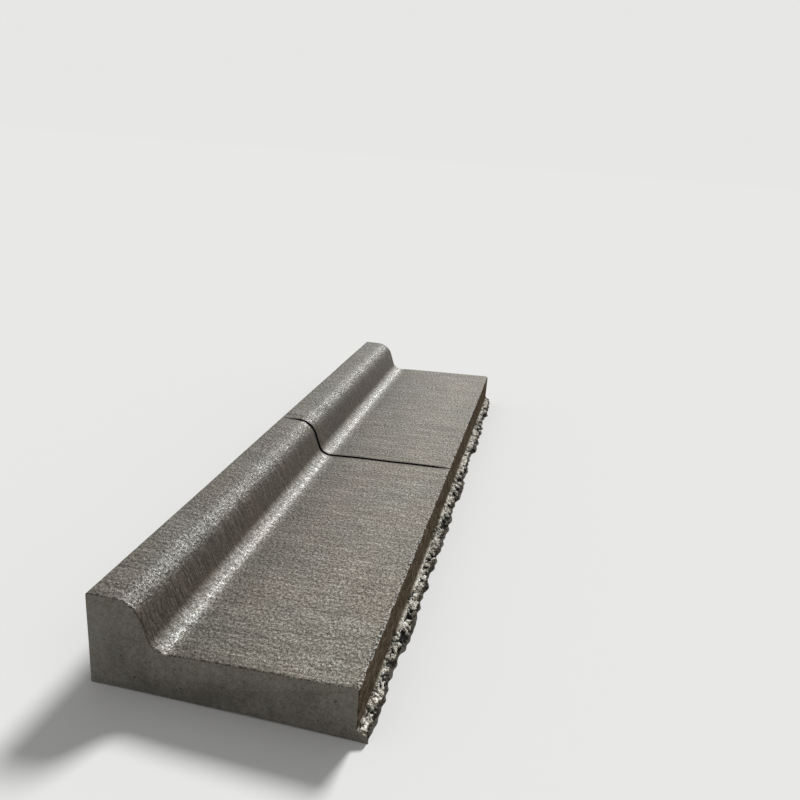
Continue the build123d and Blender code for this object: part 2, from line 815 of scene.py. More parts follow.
    def _body_row(self, y: float, foot: list[int]) -> list[int]:
        """Adds the body's vertices at a station, between the toe and the root of the foot's."""
        return [foot[-1]] + [self._body_vertex(point, y) for point in self.body_points] + [foot[0]]

    def _fine_places(self, start: float, end: float) -> list[float]:
        """Places at which the foot is worked, past one station and up to the next."""
        parts = self.foot_parts if end - start > self.fine_from * self.station else 1
        return [start + (end - start) * part / parts for part in range(1, parts)] + [end]

    def _work_mesh(self) -> None:
        """Fills in the vertices and faces, body and foot side by side."""
        near_foot = self._foot_row(self.stations[0])
        near_body = self._body_row(self.stations[0], near_foot)
        self._add_face(near_body[:-1] + near_foot[:-1], Finish.FORMED)
        for start, end in zip(self.stations, self.stations[1:]):
            rows = [near_foot] + [self._foot_row(y) for y in self._fine_places(start, end)]
            for first, second in zip(rows, rows[1:]):
                for i in range(len(first) - 1):
                    quad = [first[i], first[i + 1], second[i + 1], second[i]]
                    self._add_face(quad, Finish.CRUMBLED)
            far_body = self._body_row(end, rows[-1])
            self._join_rows(near_body, far_body, rows)
            near_foot, near_body = rows[-1], far_body
        self._add_face((near_body[:-1] + near_foot[:-1])[::-1], Finish.FORMED)

    def _join_rows(self, near: list[int], far: list[int], foot_rows: list[list[int]]) -> None:
        """Adds the body's faces between two stations.

        Args:
            near: The body's vertices at the nearer station.
            far: Those at the farther one.
            foot_rows: The foot's rows from the one to the other, both included.
        """
        last = len(near) - 2
        for i in range(1, last):
            corners = [near[i], near[i + 1], far[i + 1], far[i]]
            self._add_face(corners, self._finish_between(self.body_points[i - 1], corners))
        toe = [row[-1] for row in foot_rows]
        root = [row[0] for row in foot_rows]
        self._add_face(toe[::-1] + [near[1], far[1]], Finish.CRUMBLED)
        self._add_face([near[last]] + root + [far[last]], Finish.SLIPPED)

    def build(self) -> bpy.types.Object:
        """Makes the mesh object.

        Returns:
            The casting, with the attributes across, cut and hollow on its vertices.
        """
        self._work_mesh()
        mesh = bpy.data.meshes.new(PIECE)
        mesh.from_pydata([tuple(place) for place in self.positions], [], self.faces)
        mesh.polygons.foreach_set("material_index", self.finishes)
        mesh.polygons.foreach_set("use_smooth", [True] * len(self.faces))
        for name, values in (("across", self.across), ("cut", self.cut), ("hollow", self.hollow)):
            mesh.attributes.new(name, "FLOAT", "POINT").data.foreach_set("value", values)
        work = bmesh.new()
        work.from_mesh(mesh)
        bmesh.ops.recalc_face_normals(work, faces=work.faces)
        work.to_mesh(mesh)
        work.free()
        mesh.set_sharp_from_angle(angle=self.sharp_angle)
        mesh.update()
        casting = bpy.data.objects.new(PIECE, mesh)
        bpy.context.scene.collection.objects.link(casting)
        triangles = sum(len(corners) - 2 for corners in self.faces)
        log.info("%s: %d vertices, %d triangles", casting.name, len(self.positions), triangles)
        return casting


class Graph:
    """Adds nodes to one node tree and links them."""

    def __init__(self, tree: bpy.types.NodeTree) -> None:
        """Keeps the tree that the nodes go into."""
        self.tree = tree

    def node(self, kind: str, **settings: object) -> bpy.types.Node:
        """Adds a node.

        Args:
            kind: Its type.
            settings: Its own properties, by name.

        Returns:
            The node.
        """
        made = self.tree.nodes.new(kind)
        for name, value in settings.items():
            setattr(made, name, value)
        return made

    def feed(self, socket: Socket, value: object) -> None:
        """Links a socket to another, or sets its own value.

        Args:
            socket: The input to feed.
            value: An output to link it to, a number or a colour.
        """
        if isinstance(value, Socket):
            self.tree.links.new(value, socket)
        elif isinstance(value, tuple) and socket.type == "RGBA":
            socket.default_value = (*value, 1.0)
        else:
            socket.default_value = value

    def fill(self, node: bpy.types.Node, **inputs: object) -> bpy.types.Node:
        """Feeds a node's inputs.

        Args:
            node: The node.
            inputs: What feeds them, by their labels in small letters, such as from_min. Of two
                inputs with one label it is the first.

        Returns:
            The same node.
        """
        sockets: dict[str, Socket] = {}
        for socket in node.inputs:
            sockets.setdefault(socket.name.lower().replace(" ", "_"), socket)
        for name, value in inputs.items():
            self.feed(sockets[name], value)
        return node

    def math(self, operation: str, *values: Value) -> Socket:
        """Adds a Math node.

        Args:
            operation: What it does.
            values: One to three numbers.

        Returns:
            Its result.
        """
        made = self.node("ShaderNodeMath", operation=operation)
        for socket, value in zip(made.inputs, values):
            self.feed(socket, value)
        return made.outputs[0]

    def times(self, first: Value, *others: Value) -> Socket:
        """Multiplies numbers."""
        return reduce(lambda so_far, value: self.math("MULTIPLY", so_far, value), others, first)

    def plus(self, first: Value, second: Value) -> Socket:
        """Adds two numbers."""
        return self.math("ADD", first, second)

    def minus(self, first: Value, second: Value) -> Socket:
        """Takes the second number from the first."""
        return self.math("SUBTRACT", first, second)

    def ratio(self, first: Value, second: Value) -> Socket:
        """Divides the first number by the second."""
        return self.math("DIVIDE", first, second)

    def times_plus(self, value: Value, by: Value, base: Value) -> Socket:
        """Multiplies a number by another and adds it to a base."""
        return self.math("MULTIPLY_ADD", value, by, base)

    def distance(self, value: Value) -> Socket:
        """Distance of a number from 0."""
        return self.math("ABSOLUTE", value)

    def span(self, value: Socket, band: Band) -> Socket:
        """Changes smoothly over a band, and stays level outside it."""
        made = self.node("ShaderNodeMapRange", interpolation_type="SMOOTHSTEP")
        return self.fill(made, value=value, from_min=band.low, from_max=band.high,
                         to_min=band.before, to_max=band.after).outputs["Result"]

    def _mixed(self, share: Value, ends: dict[str, object], **settings: str) -> bpy.types.Node:
        """Adds a Mix node, whose inputs for colours and for numbers have the same labels.

        Args:
            share: Of the second end, from 0 to 1.
            ends: What feeds the two ends, by the inputs' identifiers.
            settings: What kind of mix it is.

        Returns:
            The node.
        """
        made = self.node("ShaderNodeMix", **settings)
        sockets = {socket.identifier: socket for socket in made.inputs}
        self.feed(sockets["Factor_Float"], share)
        for name, value in ends.items():
            self.feed(sockets[name], value)
        return made

    def mix(self, share: Value, first: object, second: object, blend: str = "MIX") -> Socket:
        """Mixes two colours.

        Args:
            share: Of the second colour, from 0 to 1.
            first: Colour at a share of 0.
            second: Colour at a share of 1.
            blend: How the two are mixed.

        Returns:
            The colour.
        """
        ends = {"A_Color": first, "B_Color": second}
        return self._mixed(share, ends, data_type="RGBA", blend_type=blend).outputs[2]

    def blend(self, share: Value, first: Value, second: Value) -> Socket:
        """Mixes two numbers, from the first at a share of 0 to the second at 1."""
        return self._mixed(share, {"A_Float": first, "B_Float": second},
                           data_type="FLOAT").outputs[0]

    def ramp(self, value: Socket, stops: list[tuple[float, Colour]]) -> Socket:
        """Turns a number into a colour that changes from stop to stop.

        Args:
            value: The number.
            stops: Its values in rising order, each with the colour there.

        Returns:
            The colour.
        """
        low, high = stops[0][0], stops[-1][0]
        share = self.ratio(self.minus(value, low), high - low)
        made = self.node("ShaderNodeValToRGB")
        elements = made.color_ramp.elements
        while len(elements) < len(stops):
            elements.new(0.5)
        for element, (place, colour) in zip(elements, stops):
            element.position = (place - low) / (high - low)
            element.color = (*colour, 1.0)
        self.feed(made.inputs[0], share)
        return made.outputs["Color"]

    def shade(self, colour: object, tone: Value) -> Socket:
        """Makes a colour darker and a little warmer, or lighter and a little cooler.

        Args:
            colour: The colour.
            tone: How bright it becomes, where 1 leaves it as it is.

        Returns:
            The new colour.
        """
        red = self.math("POWER", tone, WARMER_RED)
        blue = self.math("POWER", tone, COOLER_BLUE)
        return self.mix(1.0, colour, self.vector(red, tone, blue), "MULTIPLY")

    def vector(self, x: Value, y: Value, z: Value = 0.0) -> Socket:
        """Combines three numbers into a vector."""
        return self.fill(self.node("ShaderNodeCombineXYZ"), x=x, y=y, z=z).outputs[0]

    def split(self, vector: Socket) -> tuple[Socket, ...]:
        """Splits a vector or a colour into its three numbers."""
        return tuple(self.fill(self.node("ShaderNodeSeparateXYZ"), vector=vector).outputs)

    def attribute(self, name: str) -> Socket:
        """Reads a number stored on the mesh."""
        return self.node("ShaderNodeAttribute", attribute_name=name).outputs["Fac"]

    def noise(self, place: Socket, scale: Value, detail: float = 2.0, roughness: float = 0.5,
              distortion: float = 0.0) -> Socket:
        """Adds a Noise Texture.

        Args:
            place: Where on the surface.
            scale: Bumps to the metre.
            detail: How many finer layers it has.
            roughness: How strong each finer layer is.
            distortion: How far the bumps are drawn out of shape.

        Returns:
            Its height, from 0 to 1.
        """
        made = self.node("ShaderNodeTexNoise", noise_dimensions="3D")
        self.fill(made, vector=place, scale=scale, detail=detail, roughness=roughness,
                  distortion=distortion)
        return made.outputs["Fac"]

    def cells(self, place: Socket, scale: Value) -> bpy.types.Node:
        """Adds a Voronoi Texture of round cells."""
        return self.fill(self.node("ShaderNodeTexVoronoi", feature="F1"), vector=place, scale=scale)

    def bump(self, height: Socket, distance: float, below: Socket | None = None) -> Socket:
        """Adds a Bump node.

        Args:
            height: Its height, from 0 to 1.
            distance: How high 1 stands.
            below: Normal of a coarser bump that this one lies on.

        Returns:
            Its normal.
        """
        made = self.fill(self.node("ShaderNodeBump"), height=height, distance=distance)
        if below is not None:
            self.feed(made.inputs["Normal"], below)
        return made.outputs[0]

    def group(self, tree: bpy.types.NodeTree, **inputs: object) -> bpy.types.Node:
        """Places a node group, with values for its inputs."""
        return self.fill(self.node("ShaderNodeGroup", node_tree=tree), **inputs)


class Effect:
    """A node group that several materials share."""

    def __init__(self, name: str, inputs: dict[str, float], outputs: tuple[str, ...]) -> None:
        """Makes the group and its sockets.

        Args:
            name: Of the group.
            inputs: Names of its numbers, each with its usual value. Place comes on its own.
            outputs: Names of what it puts out.
        """
        self.tree = bpy.data.node_groups.new(name, "ShaderNodeTree")
        socket = self.tree.interface.new_socket
        socket("Place", in_out="INPUT", socket_type="NodeSocketVector")
        for label, usual in inputs.items():
            socket(label, in_out="INPUT", socket_type="NodeSocketFloat").default_value = usual
        for label in outputs:
            socket(label, in_out="OUTPUT", socket_type="NodeSocketFloat")
        self.graph = Graph(self.tree)
        self.inputs = self.graph.node("NodeGroupInput").outputs
        self.outputs = self.graph.node("NodeGroupOutput").inputs


def sand_grain() -> bpy.types.NodeTree:
    """Makes the grain of sand and paste.

    Returns:
        A group with Tone, which varies about 1, and Height, from 0 to 1.
    """
    coarser, fine_share, gain, darkest = 0.34, 0.74, 4.0, 0.15
    effect = Effect("sand_grain", {"Size": 4.0 * MM, "Contrast": 0.3}, ("Tone", "Height"))
    graph, given = effect.graph, effect.inputs
    scale = graph.ratio(1.0, given["Size"])
    coarse = graph.noise(given["Place"], graph.times(scale, coarser), detail=0.0)
    fine = graph.noise(given["Place"], scale, detail=1.0, roughness=1.0)
    height = graph.blend(fine_share, coarse, fine)
    centred = graph.times(graph.minus(height, MIDDLE), gain)
    tone = graph.times_plus(centred, given["Contrast"], 1.0)
    graph.feed(effect.outputs["Tone"], graph.math("MAXIMUM", tone, darkest))
    graph.feed(effect.outputs["Height"], height)
    return effect.tree


def brush_strokes() -> bpy.types.NodeTree:
    """Makes the strokes of a brush drawn over the section.

    Returns:
        A group with Height, from 0 to 1, of strokes that run along the place's first number.
    """
    wander_scale, wander_stretch = 16.0, 0.4
    effect = Effect("brush_strokes", {"Spacing": 5.0 * MM, "Length": 60.0 * MM, "Waver": 3.0 * MM},
                    ("Height",))
    graph, given = effect.graph, effect.inputs
    along, over, _ = graph.split(given["Place"])
    drawn = graph.vector(along, graph.times(over, wander_stretch))
    wander = graph.noise(drawn, wander_scale, detail=1.0)
    shift = graph.times(graph.minus(wander, MIDDLE), given["Waver"])
    across = graph.ratio(graph.plus(over, shift), given["Spacing"])
    place = graph.vector(graph.ratio(along, given["Length"]), across)
    graph.feed(effect.outputs["Height"], graph.noise(place, 1.0, detail=3.0, roughness=0.8))
    return effect.tree


def damp_patches() -> bpy.types.NodeTree:
    """Makes the patches in which the concrete dries.

    Returns:
        A group with Mask, from 0 where it is dry to 1 where it is damp.
    """
    dampness = Band(0.34, 0.66)
    effect = Effect("damp_patches", {"Size": 120.0 * MM}, ("Mask",))
    graph, given = effect.graph, effect.inputs
    scale = graph.ratio(1.0, given["Size"])
    cloud = graph.noise(given["Place"], scale, detail=4.0, roughness=0.55, distortion=0.3)
    graph.feed(effect.outputs["Mask"], graph.span(cloud, dampness))
    return effect.tree


def bug_holes() -> bpy.types.NodeTree:
    """Makes the small holes that trapped air leaves.

    Returns:
        A group with Mask, which is 1 in a hole, for its colour and its depth.
    """
    smallest, size_range, rim = 0.06, 0.12, Band(0.7, 1.1, 1.0, 0.0)
    effect = Effect("bug_holes", {"Size": 20.0 * MM, "Share": 0.2}, ("Mask",))
    graph, given = effect.graph, effect.inputs
    cells = graph.cells(given["Place"], graph.ratio(1.0, given["Size"]))
    pick, width, _ = graph.split(cells.outputs["Color"])
    chosen = graph.math("LESS_THAN", pick, given["Share"])
    radius = graph.plus(smallest, graph.times(width, size_range))
    hole = graph.span(graph.ratio(cells.outputs["Distance"], radius), rim)
    graph.feed(effect.outputs["Mask"], graph.times(hole, chosen))
    return effect.tree


@dataclass(frozen=True)
class Grain:
    """The sand grain of one finish: the size of a grain, and how far its tone varies."""

    size: float
    contrast: float


@dataclass(frozen=True)
class Holes:
    """The bug holes of one finish: the space for each, and the share of spaces that have one."""

    size: float
    share: float


@dataclass(frozen=True)
class Strokes:
    """One set of brush strokes.

    Attributes:
        spacing: From stroke to stroke.
        length: Of a stroke.
        waver: How far a stroke wanders off its line.
        tone: Brightness from the bottom of a stroke to its top.
    """

    spacing: float
    length: float
    waver: float
    tone: Band


@dataclass(frozen=True)
class Shared:
    """What the finishes share.

    Attributes:
        grain: Node group of sand and paste.
        strokes: Node group of brush strokes.
        damp: Node group of damp patches.
        holes: Node group of bug holes.
        starts: Where the stretches of the section start.
    """

    grain: bpy.types.NodeTree
    strokes: bpy.types.NodeTree
    damp: bpy.types.NodeTree
    holes: bpy.types.NodeTree
    starts: Starts


class Material:
    """A new material with an empty Principled shader."""

    def __init__(self, name: str) -> None:
        """Makes the material.

        Args:
            name: Of the material.
        """
        self.made = bpy.data.materials.new(name)
        self.made.use_nodes = True
        self.made.node_tree.nodes.clear()
        self.graph = Graph(self.made.node_tree)
        self.shader = self.graph.node("ShaderNodeBsdfPrincipled")
        self.graph.fill(self.graph.node("ShaderNodeOutputMaterial"), surface=self.shader.outputs[0])

    def finish(self, **inputs: object) -> bpy.types.Material:
        """Feeds the shader's inputs and returns the material."""
        self.graph.fill(self.shader, **inputs)
        return self.made


class Surface(Material):
    """A material of the casting, with the places and the effects that its finish is made from."""

    def __init__(self, name: str, shared: Shared) -> None:
        """Makes the material and keeps what it shares with the others."""
        super().__init__(name)
        self.shared = shared

    @cached_property
    def place(self) -> Socket:
        """Place on the object."""
        return self.graph.node("ShaderNodeTexCoord").outputs["Object"]

    @cached_property
    def across(self) -> Socket:
        """Distance along the outline of the section."""
        return self.graph.attribute("across")

    @cached_property
    def along(self) -> Socket:
        """Place along the kerb, from the joint."""
        return self.graph.split(self.place)[1]

    @cached_property
    def from_joint(self) -> Socket:
        """Distance from the middle of the joint, to either side."""
        return self.graph.distance(self.along)

    @cached_property
    def unrolled(self) -> Socket:
        """Place on the surface rolled out flat, across and along."""
        return self.graph.vector(self.across, self.along)

    def squeezed(self, by: float) -> Socket:
        """Place on the surface rolled out flat, where patterns come out narrower across."""
        return self.graph.vector(self.graph.times(self.across, by), self.along)

    def start(self, stretch: Stretch) -> float:
        """Where a stretch of the section starts."""
        return self.shared.starts[stretch]

    def over(self, stretch: Stretch, band: Band) -> Socket:
        """Changes over a band of the section, counted from the start of a stretch."""
        return self.graph.span(self.across, band.past(self.start(stretch)))

    def grain(self, place: Socket, grain: Grain) -> tuple[Socket, Socket]:
        """Places the sand grain and returns its tone and its height."""
        made = self.graph.group(self.shared.grain, place=place, size=grain.size, contrast=grain.contrast)
        return made.outputs["Tone"], made.outputs["Height"]

    def patches(self, place: Socket, size: float) -> Socket:
        """Places the damp patches and returns their mask."""
        return self.graph.group(self.shared.damp, place=place, size=size).outputs["Mask"]

    def holes(self, place: Socket, holes: Holes) -> Socket:
        """Places the bug holes and returns their mask."""
        return self.graph.group(self.shared.holes, place=place, size=holes.size,
                                share=holes.share).outputs["Mask"]

    def strokes(self, strokes: Strokes) -> Socket:
        """Places a set of brush strokes and returns their height."""
        return self.graph.group(self.shared.strokes, place=self.unrolled, spacing=strokes.spacing,
                                length=strokes.length, waver=strokes.waver).outputs["Height"]

    def stroke_tone(self, strokes: Strokes) -> Socket:
        """Places a set of brush strokes and returns their tone."""
        return self.graph.span(self.strokes(strokes), strokes.tone)


@dataclass(frozen=True)
class Zone:
    """Look of the brushed surface at one place of the section.

    Attributes:
        stretch: The stretch that the place is counted from.
        past: Distance past the start of that stretch.
        colour: Base colour there.
        roughness: Roughness there.
        glint: How far the grains there shine, from 0 to 1, through gloss, relief and a stronger speckle
            in the colour that paints glints.
    """

    stretch: Stretch
    past: float
    colour: Colour
    roughness: float
    glint: float = 0.0


@dataclass(frozen=True)
class BrushedConcrete:
    """The head and the pan, brushed across while fresh."""

    # wet: the sloping face, partly damp paste and partly painted shade of the face that turns away from
    # the light
    wet: Colour = (0.059, 0.0465, 0.031)
    damp: Colour = (0.088, 0.077, 0.0575)
    # shining: a little lighter than damp, a painted sheen where the shoulder's highlight falls
    shining: Colour = (0.101, 0.089, 0.067)
    half_dry: Colour = (0.127, 0.111, 0.085)
    drying: Colour = (0.169, 0.150, 0.117)
    # cream: the flow line, partly pale trowelled paste and partly a painted highlight
    cream: Colour = (0.350, 0.328, 0.282)
    worn: Colour = (0.225, 0.210, 0.178)

    # Broad tints, laid over the colours
    stained: Colour = (1.035, 0.99, 0.94)
    clear: Colour = (0.98, 1.0, 0.97)
    stain_size: float = 300.0 * MM
    stain_share: Band = Band(0.36, 0.64)

    # Strokes: sweeps and bristles on the level parts, streaks and gouges down the face
    sweeps: Strokes = Strokes(34.0 * MM, 300.0 * MM, 20.0 * MM, Band(0.35, 0.65, 0.74, 1.26))
    bristles: Strokes = Strokes(17.0 * MM, 130.0 * MM, 10.0 * MM, Band(0.35, 0.65, 0.74, 1.26))
    streaks: Strokes = Strokes(6.0 * MM, 110.0 * MM, 16.0 * MM, Band(0.38, 0.6, 0.2, 1.55))
    gouges: Strokes = Strokes(12.0 * MM, 100.0 * MM, 40.0 * MM, Band(0.36, 0.47, 0.1, 1.12))
    face_from: float = 45.0 * MM
    face_fade: float = 10.0 * MM
    face_end: float = 15.0 * MM

    # Speckle and blotches; where the zones glint, the speckle is made stronger as painted glints
    grain: Grain = Grain(3.9 * MM, 3.4)
    grain_squeeze: float = 1.3
    grain_on_face: float = 0.4
    painted_glint_contrast: float = 1.7
    darkest: float = 0.12
    blotch_size: float = 170.0 * MM
    blotch_tone: Band = Band(0.0, 1.0, 1.07, 0.93)

    # Crumbs along the lip's worn arris
    rag: Band = Band(-36.0 * MM, -2.0 * MM)
    rag_size: float = 8.0 * MM
    rag_tone: Band = Band(0.4, 0.62, 0.05, 2.0)

    # Under the tool's sole, from the joint's middle to its two edges
    sole: float = 55.0 * MM
    other_edge: float = -34.1 * MM
    smoothed: Band = Band(44.0 * MM, 55.0 * MM, 0.6, 1.0)

    # Darker band beside the joint: partly wet paste that the tool pressed aside, partly painted shade of
    # the groove's rounded edges
    pressed: Band = Band(9.0 * MM, 30.0 * MM, 1.0, 0.0)
    pressed_from: Band = Band(28.0 * MM, 44.0 * MM)
    pressed_to: Band = Band(-30.0 * MM, -12.0 * MM, 1.0, 0.0)
    pressed_paste_and_shade_tone: float = 0.28

    # Thin lines under the edges of the sole
    trace: Band = Band(2.4 * MM, 8.0 * MM, 1.0, 0.0)
    trace_bend: float = 30.0 * MM
    trace_bend_scale: float = 14.0
    trace_from: Band = Band(-10.0 * MM, 25.0 * MM)
    trace_to: Band = Band(-20.0 * MM, 15.0 * MM, 1.0, 0.0)
    trace_tone: float = 0.6
    trace_height: float = 0.4

    # Gloss and relief of the wet film
    ripple_size: float = 13.0 * MM
    ripple_gloss: Band = Band(0.42, 0.56, 1.0, -1.0)
    swell_size: float = 32.0 * MM
    gloss_change: float = 0.08
    glint_gloss_change: float = 0.12
    wave_height: float = 2.8
    grain_bump: float = 2.2 * MM
    ridge_bump: float = 2.6 * MM

    def zones(self) -> list[Zone]:
        """Lists the looks from the back of the kerb to the lip."""
        return [
            Zone(Stretch.TOP, 0.0, self.damp, 0.70, 0.1),
            Zone(Stretch.SHOULDER, 6.0 * MM, self.damp, 0.62, 0.4),
            # Shoulder: shining, a painted sheen in its highlight
            Zone(Stretch.SHOULDER, 30.0 * MM, self.shining, 0.45, 1.0),
            Zone(Stretch.SHOULDER, 62.0 * MM, self.shining, 0.45, 0.9),
            # Down the face: wet, partly damp paste and partly painted shade
            Zone(Stretch.SHOULDER, 95.0 * MM, self.wet, 0.56, 0.2),
            Zone(Stretch.FLOW, 5.0 * MM, self.wet, 0.56),
            # Over the flow line the colour rises to cream and falls again in the pan: partly pale
            # trowelled paste, partly a painted highlight
            Zone(Stretch.FLOW, 17.0 * MM, self.half_dry, 0.60, 0.2),
            Zone(Stretch.FLOW, 32.0 * MM, self.half_dry, 0.53, 0.4),
            Zone(Stretch.FLOW, 42.0 * MM, self.drying, 0.38, 0.4),
            Zone(Stretch.FLOW, 52.0 * MM, self.cream, 0.35, 0.3),
            Zone(Stretch.PAN, 2.0 * MM, self.cream, 0.35, 0.3),
            Zone(Stretch.PAN, 14.0 * MM, self.half_dry, 0.52, 0.3),
            Zone(Stretch.PAN, 40.0 * MM, self.damp, 0.68),
            Zone(Stretch.PAN, 180.0 * MM, self.half_dry, 0.68),
            Zone(Stretch.PAN, 400.0 * MM, self.drying, 0.68),
            Zone(Stretch.LIP_ARRIS, -14.0 * MM, self.drying, 0.70),
            Zone(Stretch.LIP_ARRIS, 0.0, self.worn, 0.75),
        ]

    def build(self, shared: Shared) -> bpy.types.Material:
        """Makes the material.

        Args:
            shared: What the finishes share.

        Returns:
            The material.
        """
        surface = Surface("brushed_concrete", shared)
        graph, across = surface.graph, surface.across
        on_face = self._on_face(surface)
        traces = self._traces(surface)
        streaks = surface.strokes(self.streaks)
        grain_tone, grain_height = surface.grain(surface.squeezed(self.grain_squeeze), self.grain)
        zones = self.zones()
        places = [surface.start(zone.stretch) + zone.past for zone in zones]
        looks = [(zone.roughness, zone.glint, 0.0) for zone in zones]
        level, glint, _ = graph.split(graph.ramp(across, list(zip(places, looks))))

        relief = graph.times(graph.span(surface.from_joint, self.smoothed),
                             graph.blend(on_face, 1.0, self.grain_on_face))
        # Where the zones glint, the colour's speckle grows stronger: painted glints of the highlight
        strength = graph.times(relief, graph.times_plus(glint, self.painted_glint_contrast, 1.0))
        speckle = graph.times_plus(self._speckle(surface, grain_tone), strength, 1.0)
        tone = graph.times(
            graph.math("MAXIMUM", self.darkest, speckle),
            graph.blend(on_face, surface.stroke_tone(self.bristles),
                        graph.span(streaks, self.streaks.tone)),
            graph.blend(on_face, 1.0, surface.stroke_tone(self.gouges)))
        crumbs = graph.noise(surface.unrolled, 1.0 / self.rag_size, detail=0.0)
        tone = graph.blend(surface.over(Stretch.LIP_ARRIS, self.rag), tone,
                           graph.span(crumbs, self.rag_tone))
        tone = graph.times(tone, self._beside_joint(surface))
        tone = graph.plus(tone, graph.times(traces, self.trace_tone))
        colour = graph.ramp(across, list(zip(places, (zone.colour for zone in zones))))
        cloud = graph.noise(surface.unrolled, 1.0 / self.stain_size)
        stain = graph.mix(graph.span(cloud, self.stain_share), self.clear, self.stained)
        colour = graph.mix(1.0, colour, stain, "MULTIPLY")

        ripple = graph.noise(surface.unrolled, 1.0 / self.ripple_size, detail=1.0, roughness=0.8)
        swell = graph.noise(surface.unrolled, 1.0 / self.swell_size, detail=1.0)
        film = graph.times(graph.times_plus(glint, self.glint_gloss_change, self.gloss_change),
                           graph.span(ripple, self.ripple_gloss))
        waves = graph.times_plus(ripple, self.wave_height, grain_height)
        waves = graph.times_plus(graph.times(swell, glint), self.wave_height, waves)
        normal = graph.bump(graph.times(waves, relief), self.grain_bump)
        ridges = graph.plus(graph.times(streaks, on_face), graph.times(traces, self.trace_height))
        return surface.finish(base_color=graph.shade(colour, tone),
                              roughness=graph.plus(level, film),
                              normal=graph.bump(ridges, self.ridge_bump, normal))

    def _on_face(self, surface: Surface) -> Socket:
        """Finds the sloping face, where the strokes run down as long streaks.

        Args:
            surface: The material.

        Returns:
            A mask, which is 1 on the face.
        """
        above = Band(surface.start(Stretch.SHOULDER) + self.face_from, surface.start(Stretch.FACE))
        below = Band(surface.start(Stretch.FLOW) + self.face_fade,
                     surface.start(Stretch.PAN) - self.face_end, 1.0, 0.0)
        graph = surface.graph
        return graph.times(graph.span(surface.across, above), graph.span(surface.across, below))

    def _speckle(self, surface: Surface, grain_tone: Socket) -> Socket:
        """Makes the speckle and the broad blotches of the brushed surface.

        Args:
            surface: The material.
            grain_tone: Tone of its grain.

        Returns:
            A tone that varies about 0.
        """
        graph = surface.graph
        blotch = graph.span(surface.patches(surface.unrolled, self.blotch_size), self.blotch_tone)
        return graph.minus(graph.times(grain_tone, surface.stroke_tone(self.sweeps), blotch), 1.0)

    def _beside_joint(self, surface: Surface) -> Socket:
        """Darkens a band beside the joint, from its start to its end: partly wet paste that the tool
        pressed aside, partly painted shade of the groove's rounded edges.

        Args:
            surface: The material.

        Returns:
            A tone, which is 1 away from the joint.
        """
        graph = surface.graph
        run = graph.times(surface.over(Stretch.TOP, self.pressed_from),
                          surface.over(Stretch.LIP_ARRIS, self.pressed_to))
        share = graph.times(graph.span(surface.from_joint, self.pressed), run)
        # Partly pressed-aside paste, partly painted shade beside the groove
        return graph.blend(share, 1.0, self.pressed_paste_and_shade_tone)

    def _traces(self, surface: Surface) -> Socket:
        """Makes the thin lines that the edges of the tool's sole leave on the head.

        Args:
            surface: The material.

        Returns:
            A mask, which is 1 on the lines.
        """
        graph = surface.graph
        wander = graph.noise(graph.vector(surface.across, 0.0), self.trace_bend_scale, detail=1.0)
        bent = graph.plus(surface.along, graph.times(graph.minus(wander, MIDDLE), self.trace_bend))
        lines = [graph.span(graph.distance(graph.minus(bent, edge)), self.trace)
                 for edge in (self.sole, self.other_edge)]
        head = graph.times(surface.over(Stretch.SHOULDER, self.trace_from),
                           surface.over(Stretch.FLOW, self.trace_to))
        return graph.times(graph.math("MAXIMUM", *lines), head)


@dataclass(frozen=True)
class GroovedConcrete:
    """The inside of the tooled joint, painted near black as the shade inside the narrow groove."""

    # damp: near black, painted shade deep in the groove rather than the concrete's own colour
    damp: Colour = (0.010, 0.009, 0.007)
    # edge: almost as dark, painted shade on the groove's rounded edges
    edge: Colour = (0.018, 0.015, 0.012)
    edge_depth: Band = Band(0.0, 0.3)
    grain: Grain = Grain(5.0 * MM, 0.8)
    grain_bump: float = 0.8 * MM

    def build(self, shared: Shared) -> bpy.types.Material:
        """Makes the material.

        Args:
            shared: What the finishes share.

        Returns:
            The material.
        """
        surface = Surface("grooved_concrete", shared)
        graph = surface.graph
        grain_tone, grain_height = surface.grain(surface.place, self.grain)
        inside = graph.span(graph.attribute("cut"), self.edge_depth)
        # Painted shade: near black, a little lighter on the rounded edges
        colour = graph.shade(graph.mix(inside, self.edge, self.damp), grain_tone)
        return surface.finish(base_color=colour, roughness=0.9, specular_ior_level=0.0,
                              normal=graph.bump(grain_height, self.grain_bump))


